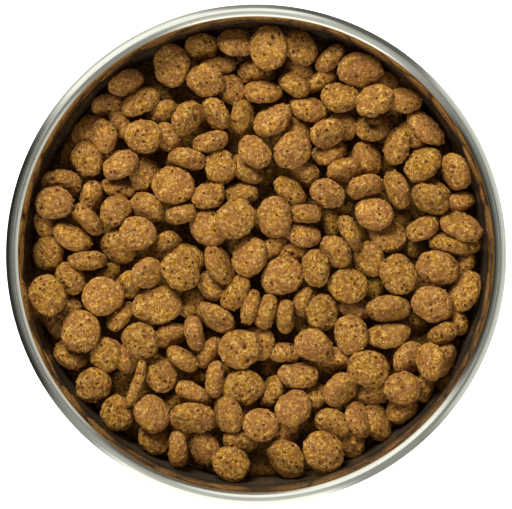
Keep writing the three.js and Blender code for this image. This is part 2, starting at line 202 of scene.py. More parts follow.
# The kibble's look: the shares of mottle and grain in its colour, how much its tone adds to the
# patches and takes from the pores, how rare flecks and pores are, from 0 to 1, how uneven the pores
# are, how far from a cell's middle a fleck or a pore starts and ends to fade, how strong their
# colours are, the pores' dark being painted shade, and how high or deep each stands in the bump
MOTTLE_SHARE = 0.68
GRAIN_SHARE = 0.32
PATCH_BY_TONE = 0.1
PORE_BY_TONE = 0.3
FLECK_RARITY = 0.87
PORE_RARITY = 0.46
PORE_UNEVEN = 0.1
FLECK_FADE = (0.2, 0.36)
PORE_FADE = (0.24, 0.33)
FLECK_STRENGTH = 0.85
PORE_SHADE_STRENGTH = 0.9
GRAIN_HEIGHT = 0.5
FLECK_HEIGHT = 0.25
PORE_DEPTH = 0.8
# The painted reflection on the steel: how strong its brown is, and how much of the mirror it makes matt
PAINTED_REFLECTION_STRENGTH = 0.8
PAINTED_REFLECTION_MATT = 0.14

# The world's light on matt surfaces, and how bright gloss sees the floor
AMBIENT = 0.12
FLOOR_IN_GLOSS = 0.3
FLOOR_REACH = 3.0
# Azimuths turn from the photograph's right, anticlockwise.
# A lamp has azimuth, elevation, distance, width and power.
LAMPS = {
    "key": (112, 44, 1.1, 0.5, 16.5),
    "fill": (255, 42, 1.2, 0.6, 7),
}
# The dome of cards: its radius, the hole in its floor, how high it stands over the floor, its steps
# in degrees, its own grey, and how soft the cards' edges are
STUDIO_RADIUS = 1.0
STUDIO_INSIDE = 0.12
STUDIO_LIFT = 0.002
STUDIO_STEP = 3
STUDIO_TOP = 89
STUDIO_GREY = 0.35
SOFT_SIDE = 12
SOFT_END = 14
# A card has azimuth, half its spread, lowest and highest elevation, and its grey
CARDS = {
    "right_low": (3, 45, -90, 40, 0.95),
    "right_middle": (3, 45, 40, 62, 0.72),
    "right_high": (3, 45, 62, 90, 0.28),
    "upper_gap_low": (67, 20, -90, 60, 0.17),
    "upper_gap_high": (67, 20, 60, 90, 0.5),
    "top_low": (95, 10, -90, 40, 0.4),
    "top_left_low": (124, 20, -90, 18, 0.9),
    "top_left": (122, 22, 18, 90, 1.5),
    "top_high": (96, 22, 46, 90, 1.5),
    "left_low": (184, 34, -90, 42, 0.04),
    "left_middle": (184, 34, 42, 62, 0.1),
    "left_high": (184, 34, 62, 90, 0.22),
    "lower_left": (226, 9, -90, 90, 0.45),
    "bottom_low": (263, 29, -90, 48, 1.7),
    "bottom_high": (263, 29, 48, 90, 0.8),
    "lower_gap": (303, 11, -90, 90, 0.42),
}

# Each row is one kibble as it shows from above: its centre x and y, its length and width,
# and the direction of its length. These are the ones that the solid kibble_bed holds.
HALF_HIDDEN = [
    [-51, 51, 11.5, 8, 170], [-58.5, 43.5, 12.5, 8.5, 40], [-46, 44.5, 11, 6.5, 115],
    [-32, 48.5, 11.5, 7, 22], [-30, 40, 11.5, 8, 140], [-38, 27.5, 12.5, 10, 100],
    [-13, 65, 12.5, 7, 5], [-8.5, 56.5, 11, 9, 110], [0, 62, 13, 8, 170], [15, 63, 11.5, 6.5, 140],
    [22, 59.5, 12, 6, 22], [-4.5, 47, 12, 8.5, 78], [14, 42, 12, 10.5, 100], [25, 35, 12.5, 8, 25],
    [-2.5, 29.5, 13, 9.5, 140], [16.5, 27.5, 12, 8.5, 155], [44, 59.5, 11, 7, 165],
    [39.5, 44, 13, 10, 8], [53.5, 41, 11, 7, 120], [38, 33, 12.5, 8.5, 130], [29, 44, 12, 9, 140],
    [-72, 10.5, 11, 7, 100], [-56, 20, 11.5, 7.5, 75], [-46.5, 23, 12.5, 7, 175],
    [-71, 0.5, 12, 10.5, 95], [-64, -19, 12, 7.5, 60], [-70.5, -24, 11.5, 7, 120],
    [-46.5, -21, 11.5, 7, 60], [-42.5, -10.5, 12, 9, 20], [-47, 2.5, 13, 10.5, 150],
    [-31, 2.5, 12, 9, 35], [-5, 21, 11.5, 7.5, 175], [6, 3, 11.5, 6.5, 58], [12.5, 0, 11.5, 8, 8],
    [-23.5, -1.5, 12, 9.5, 150], [-15, -11, 11.5, 8, 140], [-22.5, -16.5, 11, 8, 60],
    [17, -16, 11.5, 8, 70], [61.5, 22.5, 13, 6, 142], [70, 18, 11, 6.5, 12],
    [45, 6.5, 13.5, 10.5, 150], [72.5, 3, 10.5, 6.5, 20], [38.5, -1.5, 12.5, 11, 110],
    [70, -3, 11, 8, 60], [69, -22.5, 11, 7, 120], [33.5, -18, 11.5, 7.5, 165],
    [-63.5, -34, 12.5, 9.5, 150], [-43, -35, 11.5, 9, 60], [-29.5, -27.5, 12.5, 8, 20],
    [-32.5, -41, 12, 11, 100], [-35.5, -64, 12, 9.5, 140], [1, -30, 12.5, 10.5, 110],
    [-16, -33.5, 12, 7, 45], [-18, -66, 12.5, 10, 130], [-5.5, -64, 12, 8, 170],
    [5.5, -46.5, 11.5, 7, 60], [10, -33.5, 11.5, 6.5, 178], [27.5, -35.5, 11.5, 7, 160],
    [19.5, -47.5, 11.5, 8, 150], [11, -60, 11, 8, 60], [51.5, -54, 12, 9, 40],
    [40, -47.5, 12, 8, 10], [42, -58, 13.5, 9, 110], [32.5, -66, 11.5, 9.5, 140],
    [58, -45.5, 11, 6.5, 75],
]
WEDGED = [
    [-44.5, 58.5, 12.5, 7.5, 27], [-39.5, 52, 14.5, 8, 28], [-23.5, 32.5, 13, 7, 172],
    [25.5, 67.5, 12, 6.5, 52], [2.5, 55.5, 13.5, 7.5, 172], [13, 58, 11.5, 7, 145],
    [18, 49.5, 13.5, 8, 155], [-13.5, 48, 12.5, 7.5, 130], [-15.5, 38.5, 12.5, 6.5, 12],
    [48, 37, 13, 8, 75], [59.5, 44.5, 15.5, 8, 132], [30, 28.5, 12.5, 8, 12],
    [-57.5, 12, 13, 6.5, 132], [-62.5, 6, 14.5, 8, 148], [-57.5, -2, 13, 6.5, 175],
    [-63, -8, 12, 8.5, 135], [-25.5, 14, 11.5, 7, 10], [-16, 9, 13.5, 12, 135],
    [11.5, 21.5, 12.5, 7.5, 145], [16.5, 14, 12, 6.5, 178], [16, 7, 13, 8, 165],
    [-12.5, -3.5, 14.5, 8, 125], [-7, -13, 13.5, 8, 62], [-14, -21.5, 14.5, 8, 148],
    [-2, -18, 12.5, 6, 72], [3.5, -19.5, 12, 6.5, 78], [10, -21, 11.5, 6, 85],
    [37, 23, 12.5, 7.5, 18], [48, 22, 13.5, 7.5, 110], [32, 7.5, 12.5, 6, 122],
    [57, 9, 12, 7, 22], [66, 4, 14.5, 7, 168], [45, -18.5, 15.5, 8.5, 3],
    [-25, -35.5, 12, 6.5, 152], [-27, -67.5, 12, 6.5, 100], [-21, -27, 12, 6.5, 100],
    [-14, -42.5, 12.5, 6.5, 75], [-21.5, -47.5, 12.5, 7, 150], [-9.5, -54.5, 13, 9, 115],
    [10.5, -69.5, 15, 10.5, 135], [45, -27.5, 15.5, 8, 8], [66, -37, 12.5, 7, 68],
    [63.5, -27, 11, 6.5, 25], [35, -56, 13, 8, 115], [-67, 24.5, 14, 8.5, 172],
    [-57.5, 32.5, 12, 10.5, 120], [-52, 40.5, 11.5, 9, 105], [-12, 30, 12, 11, 100],
    [-37, 16, 12, 9, 145], [27, 1, 12, 9, 125], [71, -12.5, 14.5, 9.5, 70], [-51, -34, 12, 11, 120],
    [-55.5, -44.5, 12.5, 12, 0], [-4.5, -45, 14.5, 12.5, 5], [14.5, -41, 14, 8.5, 175],
    [26, -58, 13, 10, 140], [-8.5, -72.5, 13, 11.5, 160], [52, -35, 12.5, 9, 40],
    [-19, 72, 11.5, 8, 170],
]
# Deeper ones that show through the gaps
DEEP = [
    [-66, 33.5, 12, 9, 60], [-32, 57, 12, 8, 150], [-26, 54.5, 12, 9, 0], [5.5, 28, 12, 8, 60],
    [-7, 40, 12, 8, 60], [47.5, 47, 12, 8, 90], [-31.5, 10, 12, 8, 0], [-58, 26, 12, 8, 30],
    [-21.5, 6.5, 12, 9, 140], [25, 11, 12, 8, 90], [21.5, -12.5, 12, 8, 30], [31, 16.5, 12, 8, 20],
    [50.5, 13, 12, 8, 165], [54.5, 3, 12, 8, 160], [49.5, -2.5, 12, 8, 170], [39.5, -11, 12, 9, 100],
    [53.5, -23.5, 12, 8, 0], [-45.5, -43.5, 12, 9, 10], [-27.5, -51.5, 12, 8, 20],
    [-20.5, -40.5, 12, 8, 175], [-14, -27.5, 12, 9, 90], [-18, -72, 12, 8, 0], [2, -72.5, 12, 9, 100],
    [4.5, -38.5, 12, 8, 90], [23.5, -39.5, 12, 8, 150], [-2.5, -52.5, 12, 8, 90],
    [18, -57, 12, 8, 20], [48, -33, 12, 8, 30],
]
# The craters that show best, each with its x and y from above, its width and its depth
CRATERS = [
    [-39.5, 52, 1.0, 0.9], [-46, 44.5, 0.9, 0.8], [12.5, 0, 1.0, 0.9], [39.5, 44, 1.6, 0.9],
    [-46.5, 21, 1.1, 1.0], [-67, 22, 1.2, 1.0], [-34, -39.5, 0.8, 0.8], [-31, -43, 0.8, 0.8],
    [-4, -31, 1.2, 1.2], [-3, -36, 1.1, 1.1], [-6.5, -44, 0.8, 0.9], [-2.5, -46.5, 0.8, 0.9],
    [-4.5, -48, 0.7, 0.9], [6, 73.5, 1.0, 1.1],
]

lean = math.radians(WALL_LEAN)
bead_radius = (BEAD_DIAMETER - SHEET) / 2
bead_centre = ((RIM_DIAMETER - BEAD_DIAMETER) / 2, BOWL_HEIGHT - BEAD_DIAMETER / 2)
wall_top = (bead_centre[0] - bead_radius * math.cos(lean), bead_centre[1] + bead_radius * math.sin(lean))
corner_height = SHEET / 2 + CORNER_RADIUS
corner_run = (CORNER_RADIUS + (wall_top[1] - corner_height) * math.sin(lean)) / math.cos(lean)
corner_centre = (wall_top[0] - corner_run, corner_height)


def wall_radius(height):
    """Radius of the middle of the wall's sheet at a height."""
    return wall_top[0] - (wall_top[1] - height) * math.tan(lean)


heap_radius = wall_radius(BOWL_HEIGHT - HEAP_BELOW_RIM - HEAP_FALL - KIBBLE_THICKNESS / 2)


def heap_top(distance):
    """Height of the heap's top, by distance from the axis."""
    return BOWL_HEIGHT - HEAP_BELOW_RIM - HEAP_FALL * (distance / heap_radius) ** 2


# Random numbers and noise, the same on each run
class Draws:
    """The random numbers that the kibbles' tilts were drawn with, from 0 to 1."""

    def __init__(self, state):
        self.state = state

    def next(self):
        self.state = (1664525 * self.state + 1013904223) % 2**32
        return self.state / 2**32

    def spread(self, reach):
        return (2 * self.next() - 1) * reach

    def share(self, least, more):
        return least + more * self.next()


def lattice(cells):
    """A number from 0 to 1 for each whole-numbered cell of space."""
    mixed = cells[..., 0] * 73856093 ^ cells[..., 1] * 19349663 ^ cells[..., 2] * 83492791
    mixed = (mixed ^ (mixed >> 13)) * 1274126177
    return ((mixed ^ (mixed >> 16)) & 0xFFFF) / 0xFFFF


def noise(points):
    """Smooth noise from -1 to 1, with lumps about one unit across."""
    cell = np.floor(points).astype(np.int64)
    part = points - cell
    smooth = part * part * (3 - 2 * part)
    total = np.zeros(len(points))
    for corner in itertools.product((0, 1), repeat=3):
        weight = np.prod(np.where(corner, smooth, 1 - smooth), axis=-1)
        total += weight * lattice(cell + corner)
    return 2 * total - 1


# Kibble poses: where each lies, its half sizes, and its own axes
def turn_about(axis, angle):
    """The matrix of a turn about X, Y or Z, given as 0, 1 or 2."""
    one, two = (axis + 1) % 3, (axis + 2) % 3
    matrix = np.eye(3)
    matrix[one, one] = matrix[two, two] = math.cos(angle)
    matrix[two, one] = math.sin(angle)
    matrix[one, two] = -math.sin(angle)
    return matrix


def pose_from_row(row, draws, spacing=heap_radius / LAYOUT_RADIUS):
    """How a kibble lies, worked out from how it shows from above."""
    x, y, length, width, turn = row
    size = KIBBLE_DIAMETER / LAYOUT_DIAMETER
    shown = width / length
    thickness = min(KIBBLE_THICKNESS, width * size)
    thin = thickness / (length * size)
    face = max(min(KIBBLE_OVAL, LAYOUT_DIAMETER / length), shown)
    flatness = (shown**2 - thin**2) / (face**2 - thin**2)
    tilt = math.acos(math.sqrt(min(max(flatness, 0), 1))) * (-1 if draws.next() < 0.5 else 1)
    pitch = math.radians(draws.spread(PITCH))
    wave = draws.next() * 2 * math.pi
    axes = turn_about(2, math.radians(turn)) @ turn_about(0, tilt) @ turn_about(1, pitch)
    half = np.array([length, face * length, thickness / size]) * size / 2
    return {"centre": np.array([x * spacing, y * spacing, 0.0]), "half": half, "axes": axes, "wave": wave}


def balls_of(pose):
    """Balls that stand for a kibble: offsets from its centre, and their radii."""
    a, b, c = pose["half"]
    radius = min(b, c)
    angles = 2 * math.pi * np.arange(RING_BALLS) / RING_BALLS
    ring = np.stack([(a - radius) * np.cos(angles), (b - radius) * np.sin(angles), 0 * angles], axis=1)
    offsets = np.vstack([[0, 0, 0], ring]) @ pose["axes"].T
    return offsets, np.array([c] + [radius] * RING_BALLS)


def solid_corners(pose):
    """The corners of a bedded kibble's plain solid, from its centre."""
    angles = math.pi + 2 * math.pi * np.arange(BEDDED_SIDES) / BEDDED_SIDES
    wavy = 1 - OUTLINE_WAVE * (1 + np.cos(3 * angles + pose["wave"]))
    level = 0.5 ** (2 / KIBBLE_SQUARENESS)
    ring = [np.stack([wavy * np.cos(angles), wavy * np.sin(angles), 0 * angles + z], axis=1)
            for z in (level, -level)]
    return np.vstack([*ring, [[0, 0, 1], [0, 0, -1]]]) * pose["half"] @ pose["axes"].T


def into_wall(centre, offsets, radii):
    """How far each ball reaches into the wall or its clearance."""
    at = centre + offsets
    reach = (radii + CLEARANCE + SHEET / 2) / math.cos(lean)
    return np.hypot(at[:, 0], at[:, 1]) + reach - wall_radius(at[:, 2])


def bedded_pose(row, level, draws):
    """The pose of a kibble that the bed holds: levelled with the heap and clear of the wall."""
    pose = pose_from_row(row, draws)
    corners = solid_corners(pose)
    centre = pose["centre"]
    distance = math.hypot(centre[0], centre[1])
    levelled = heap_top(distance) - level * LEVEL_STEP - corners[:, 2].max()
    bitten = heap_top(distance) - BED_BELOW_HEAP - BED_BITE - corners[:, 2].min()
    centre[2] = min(levelled, bitten)
    for _ in range(PASSES):
        deepest = max(0, into_wall(centre, corners, 0).max())
        distance = math.hypot(centre[0], centre[1])
        centre[:2] *= 1 - deepest / max(distance, deepest + 1)
    return pose


def node_pose(name):
    """The pose of a loose kibble, from the corners of its own solid."""
    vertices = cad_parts[name].data.vertices
    found = {tuple(round(value / MM, 2) for value in vertex.co) for vertex in vertices}
    corners = np.array(sorted(found))
    middle = corners.mean(0)
    axes = np.linalg.eigh(np.cov((corners - middle).T))[1][:, ::-1]
    axes[:, 2] = np.cross(axes[:, 0], axes[:, 1])
    if axes[2, 2] < 0:
        axes[:, 1:] *= -1
    along = (corners - middle) @ axes
    centre = middle + axes @ ((along.max(0) + along.min(0)) / 2)
    return {"centre": centre, "half": (along.max(0) - along.min(0)) / 2, "axes": axes}


class Heap:
    """The kibbles laid so far, as balls, to find room for more under them."""

    def __init__(self):
        self.centres = np.zeros((0, 3))
        self.radii = np.zeros(0)

    def add(self, pose):
        offsets, radii = balls_of(pose)
        self.centres = np.vstack([self.centres, pose["centre"] + offsets])
        self.radii = np.concatenate([self.radii, radii])

    def ceiling(self, pose):
        """How high a kibble's centre can rise from below before it meets one that lies already."""
        offsets, radii = balls_of(pose)
        at = pose["centre"][:2] + offsets[:, :2]
        near = np.hypot(*(self.centres[:, :2] - pose["centre"][:2]).T) < 2 * KIBBLE_DIAMETER
        centres, others = self.centres[near], self.radii[near]
        apart = radii[:, None] + others[None, :]
        aside = ((at[:, None, :] - centres[None, :, :2]) ** 2).sum(-1)
        over = np.sqrt(np.maximum(apart**2 - aside, 0))
        limit = np.where(aside < apart**2, centres[None, :, 2] - over - offsets[:, 2][:, None], np.inf)
        return limit.min()


def risen(pose, heap):
    """Raises a pose to just under the heap, or returns None where the wall is in its way."""
    centre = pose["centre"]
    free = heap_top(math.hypot(centre[0], centre[1])) - LEVEL_STEP - pose["half"][2]
    centre[2] = min(heap.ceiling(pose), free)
    offsets, radii = balls_of(pose)
    return None if into_wall(centre, offsets, radii).max() > 0 else pose


# Meshes of the kibbles
def cube_ball(cuts):
    """Unit directions and four-sided faces of a ball, from a cube whose sides are cut in squares."""
    steps = np.tan(np.linspace(-1, 1, cuts + 1) * math.pi / 4)
    u, v = np.meshgrid(steps, steps, indexing="ij")
    points, faces = [], []
    square = np.arange((cuts + 1) ** 2).reshape(cuts + 1, cuts + 1)
    quads = np.stack([square[:-1, :-1], square[1:, :-1], square[1:, 1:], square[:-1, 1:]], axis=-1)
    for axis, side in itertools.product(range(3), (-1, 1)):
        grid = np.zeros((cuts + 1, cuts + 1, 3))
        grid[..., axis] = side
        grid[..., (axis + 1) % 3] = u * side
        grid[..., (axis + 2) % 3] = v
        faces.append(quads.reshape(-1, 4) + len(points) * square.size)
        points.append(grid.reshape(-1, 3))
    points = np.vstack(points)
    _, first, back = np.unique(np.round(points, 5), axis=0, return_index=True, return_inverse=True)
    directions = points[first]
    directions /= np.linalg.norm(directions, axis=1)[:, None]
    return directions, back.reshape(-1)[np.vstack(faces)]


BALLS = {cuts: cube_ball(cuts) for cuts in (LOOSE_CUTS, BEDDED_CUTS, DEEP_CUTS, CRUMB_CUTS)}


def dent(points, middle, width, depth):
    """The relief of one crater with a low raised edge."""
    away = np.linalg.norm(points - middle, axis=1) / width
    edge = EDGE_HEIGHT * np.exp(-((away - EDGE_DISTANCE) ** 2) * EDGE_SHARPNESS)
    return depth * (edge - np.exp(-(away**2) * DENT_SHARPNESS))


def puffed_form(directions, chance):
    """A round, flat, puffed form of half size 1, with a wavy outline."""
    out = np.hypot(directions[:, 0], directions[:, 1])
    angle = np.arctan2(directions[:, 1], directions[:, 0])
    power = 2 / KIBBLE_SQUARENESS
    wave = np.ones(len(out))
    for number, depth in OUTLINE_WAVES:
        wave += chance.normal(0, depth) * np.cos(number * angle + chance.uniform(0, 2 * math.pi))
    spread = np.where(out > 0, out**power / np.maximum(out, 1e-9), 0) * wave
    height = np.sign(directions[:, 2]) * np.abs(directions[:, 2]) ** power
    return np.stack([directions[:, 0] * spread, directions[:, 1] * spread, height], axis=1)


def kibble_surface(pose, cuts, seed):
    """Points, faces and relief of one puffed kibble with its lumps, dents and craters."""
    chance = np.random.default_rng(seed)
    directions, faces = BALLS[cuts]
    form = puffed_form(directions, chance)
    half = pose["half"]
    points = form * half
    outward = form / half
    outward /= np.linalg.norm(outward, axis=1)[:, None]
    shift = chance.uniform(-NOISE_REACH, NOISE_REACH, 3)
    relief = np.zeros(len(points))
    for height, width in LUMPS:
        relief += height * noise(points / width + shift)
    relief *= pose.get("calm", 1)
    points[:, 2] += pose.get("bend", 0) * (points[:, 0] / half[0]) ** 2
    for _ in range(chance.integers(*DENT_NUMBER)):
        middle = points[chance.integers(len(points))]
        relief += dent(points, middle, chance.uniform(*DENT_WIDTH), chance.uniform(*DENT_DEPTH))
    placed = pose["centre"] + points @ pose["axes"].T
    if cuts > DEEP_CUTS:
        upper = np.where((outward @ pose["axes"].T)[:, 2] > CRATER_FACING)[0]
        for x, y, width, depth in CRATERS:
            aside = np.hypot(placed[upper, 0] - x, placed[upper, 1] - y)
            if aside.min() < CRATER_REACH:
                relief += dent(points, points[upper[aside.argmin()]], width, depth)
    return placed + (outward * relief[:, None]) @ pose["axes"].T, faces, relief


def crumbs_on(points, number, chance):
    """Points and faces of small crumbs that stick to a kibble's surface."""
    directions, faces = BALLS[CRUMB_CUTS]
    found = []
    for _ in range(number):
        size = chance.uniform(*CRUMB_SIZE)
        ball = directions * size * chance.uniform(*CRUMB_UNEVEN, (len(directions), 1))
        found.append(points[chance.integers(len(points))] + ball)
    return np.vstack(found), np.vstack([faces + k * len(directions) for k in range(number)])


def make_object(name, points, faces, material, attributes=None):
    """A mesh object in metres, with numbers at its points for its material."""
    mesh = bpy.data.meshes.new(name)
    mesh.from_pydata(points, [], faces)
    for key, values in (attributes or {}).items():
        layer = mesh.attributes.new(key, "FLOAT", "POINT")
        layer.data.foreach_set("value", np.asarray(values, np.float32))
    mesh.materials.append(material)
    made = bpy.data.objects.new(name, mesh)
    bpy.context.scene.collection.objects.link(made)
    return made


def make_piece(name, points, faces, material, attributes):
    """A smooth piece, from points in millimetres, that rides on the one body."""
    piece = make_object(name, (np.asarray(points) * MM).tolist(), faces, material, attributes)
    piece.data.polygons.foreach_set("use_smooth", np.ones(len(piece.data.polygons), bool))
    piece.data.update()
    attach(piece, BODY)
    return piece


def make_kibbles(name, poses, cuts, seed, material, tones_and_shade=SHOWN_TONES, crumbs=0):
    """One piece that holds several kibbles, each with its own tone, which is painted shade on the deep
    ones, and its crumbs.
    """
    chance = np.random.default_rng(seed)
    points, faces, relief, tone_and_shade = [], [], [], []
    count = 0
    for index, pose in enumerate(poses):
        surface = kibble_surface(pose, cuts, seed * SEED_STEP + index)
        points.append(surface[0])
        faces.append(surface[1] + count)
        relief.append(surface[2])
        tone_and_shade.append(np.full(len(surface[0]), chance.uniform(*tones_and_shade)))
        count += len(surface[0])
        if crumbs:
            bits = crumbs_on(surface[0], crumbs, chance)
            points.append(bits[0])
            faces.append(bits[1] + count)
            relief.append(np.full(len(bits[0]), CRUMB_RELIEF))
            tone_and_shade.append(np.full(len(bits[0]), CRUMB_TONE))
            count += len(bits[0])
    attributes = {"relief": np.concatenate(relief), "tone_and_shade": np.concatenate(tone_and_shade)}
    return make_piece(name, np.vstack(points), np.vstack(faces).tolist(), material, attributes)


# Outlines and turned meshes
def arc(centre, radius, start, end, steps):
    """Points of an arc from one angle to the other, without the first."""
    angles = np.radians(start + (end - start) * np.arange(1, steps + 1) / steps)
    return [(centre[0] + radius * math.cos(a), centre[1] + radius * math.sin(a)) for a in angles]


def offset_line(line, distance):
    """A line moved sideways by a distance, to its left as it is drawn."""
    line = np.array(line, float)
    steps = np.diff(line, axis=0)
    steps /= np.linalg.norm(steps, axis=1)[:, None]
    into = np.vstack([steps[:1], steps])
    out = np.vstack([steps, steps[-1:]])
    along = into + out
    along /= np.linalg.norm(along, axis=1)[:, None]
    reach = distance / (along * into).sum(1)
    return line + np.stack([-along[:, 1], along[:, 0]], axis=1) * reach[:, None]


def base_and_corner():
    """The middle of the sheet from the axis, over the raised panel and the foot, to the wall."""
    middle = SHEET / 2
    foot_inside = corner_centre[0] - FOOT_WIDTH
    line = [(0, middle + PANEL_RISE), (foot_inside - PANEL_SLOPE, middle + PANEL_RISE)]
    line += [(foot_inside, middle), (corner_centre[0], middle)]
    return line + arc(corner_centre, CORNER_RADIUS, -90, -WALL_LEAN, CORNER_STEPS)


def flare_and_bead():
    """The middle of the sheet from the waist in the wall, over the flare, to the bead's rolled end."""
    wide, high = (BEAD_WIDTH - SHEET) / 2, bead_radius
    middle = ((RIM_DIAMETER - BEAD_WIDTH) / 2, bead_centre[1])
    flare_lean = math.radians(FLARE_LEAN)
    start = math.degrees(math.atan(high / wide * math.tan(flare_lean)))
    angles = np.radians(np.linspace(start, WALL_LEAN + BEAD_SWEEP, BEAD_STEPS + 1))
    bead = [(middle[0] - wide * math.cos(a), middle[1] + high * math.sin(a)) for a in angles]
    flare_height = FLARE_RADIUS * math.sin(flare_lean)
    upright = bead[0][0] - FLARE_RADIUS * (1 - math.cos(flare_lean))
    flare_centre = (upright + FLARE_RADIUS, bead[0][1] - flare_height)
    flare = arc(flare_centre, FLARE_RADIUS, 180, 180 - FLARE_LEAN, FLARE_STEPS)
    crease = wall_top[1] - (wall_top[0] - upright) / math.tan(lean)
    waist_centre = (upright - WAIST_RADIUS, crease + WAIST_RADIUS * math.tan(lean / 2))
    waist = arc(waist_centre, WAIST_RADIUS, -WALL_LEAN - WAIST_LEAD, 0, FLARE_STEPS)
    return waist + flare + bead[1:]


def bowl_outline():
    """The closed section of the bowl's sheet, with its rolled bead."""
    line = base_and_corner() + flare_and_bead()
    inside = offset_line(line, SHEET / 2)
    outside = offset_line(line, -SHEET / 2)
    return np.vstack([outside, inside[::-1]])


def turned(outline, segments):
    """Points and faces of an outline of radii and heights, turned about the upright axis."""
    angles = 2 * math.pi * np.arange(segments) / segments
    points = [(0, 0, outline[0][1]), (0, 0, outline[-1][1])]
    body = outline[1:-1]
    for angle in angles:
        points += [(r * math.cos(angle), r * math.sin(angle), z) for r, z in body]
    rows = len(body)
    faces = []
    for step in range(segments):
        here, there = 2 + step * rows, 2 + (step + 1) % segments * rows
        faces.append((0, there, here))
        faces.append((1, here + rows - 1, there + rows - 1))
        faces += [(here + k, there + k, there + k + 1, here + k + 1) for k in range(rows - 1)]
    return points, faces


def core_surface():
    """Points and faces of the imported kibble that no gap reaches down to, with a lumpy top."""
    gap = SHEET / 2 + CLEARANCE
    line = offset_line(base_and_corner() + [wall_top], gap)[:-1]
    top = heap_top(heap_radius) - CORE_DEPTH
    edge = wall_radius(top) - gap / math.cos(lean)
    radii = [edge * (1 - k / CORE_RINGS) for k in range(CORE_RINGS + 1)]
    crown = [(radius, heap_top(radius) - CORE_DEPTH) for radius in radii]
    points, faces = turned(np.vstack([line, crown]), CORE_SEGMENTS)
    points = np.array(points)
    out = np.hypot(points[:, 0], points[:, 1])
    lifted = (points[:, 2] > top - CORE_TOP_BAND) & (out < edge - CORE_EDGE_BAND)
    points[lifted, 2] += CORE_LUMPS * noise(points[lifted] / CORE_LUMP_WIDTH)
    return points, faces


# Materials
def linear(colour):
    """A colour as it looks on a screen, from 0 to 255, as light."""
    shares = [value / 255 for value in colour]
    return (*[s / 12.92 if s <= 0.04045 else ((s + 0.055) / 1.055) ** 2.4 for s in shares], 1)


class Nodes:
    """Builds a material's or world's nodes in order, each one's inputs given by name or number."""

    def __init__(self, owner):
        owner.use_nodes = True
        self.tree = owner.node_tree
        self.tree.nodes.clear()

    def put(self, socket, value):
        """Links a socket to another, or sets its value."""
        if isinstance(value, bpy.types.NodeSocket):
            self.tree.links.new(value, socket)
        else:
            socket.default_value = value

    def add(self, kind, values=None, **settings):
        node = self.tree.nodes.new("ShaderNode" + kind)
        for key, value in settings.items():
            setattr(node, key, value)
        for key, value in (values or {}).items():
            self.put(node.inputs[key], value)
        return node

    def math(self, operation, *values):
        return self.add("Math", dict(enumerate(values)), operation=operation).outputs[0]

    def times(self, one, two):
        return self.math("MULTIPLY", one, two)

    def plus(self, one, two):
        return self.math("ADD", one, two)

    def object_place(self):
        return self.add("TexCoord").outputs["Object"]

    def attribute(self, name):
        return self.add("Attribute", attribute_name=name).outputs["Fac"]

    def noise(self, place, scale, detail, roughness=0.5):
        """Noise with a number of lumps along a metre, as greys and as colours."""
        values = {"Vector": place, "Scale": scale, "Detail": detail, "Roughness": roughness}
        return self.add("TexNoise", values).outputs

    def cells(self, place, scale):
        """The distance to the middle of each cell of space, and the cell's random colour."""
        node = self.add("TexVoronoi", {"Vector": place, "Scale": scale})
        return node.outputs["Distance"], self.add("SeparateColor", {0: node.outputs["Color"]}).outputs

    def ramp(self, factor, *stops):
        """Colours or greys by factor, each stop a place and a colour."""
        node = self.add("ValToRGB", {0: factor})
        points = node.color_ramp.elements
        while len(points) < len(stops):
            points.new(0.5)
        for point, (place, colour) in zip(points, stops):
            point.position = place
            point.color = colour if isinstance(colour, tuple) else (colour, colour, colour, 1)
        return node.outputs[0]

    def fade(self, value, near, far):
        """1 up to the near value, and down to 0 at the far one."""
        return self.ramp(value, (near, 1.0), (far, 0.0))

    def mix(self, factor, one, two, blend="MIX"):
        node = self.add("Mix", data_type="RGBA", blend_type=blend)
        for number, value in ((0, factor), (6, one), (7, two)):
            self.put(node.inputs[number], value)
        return node.outputs[2]


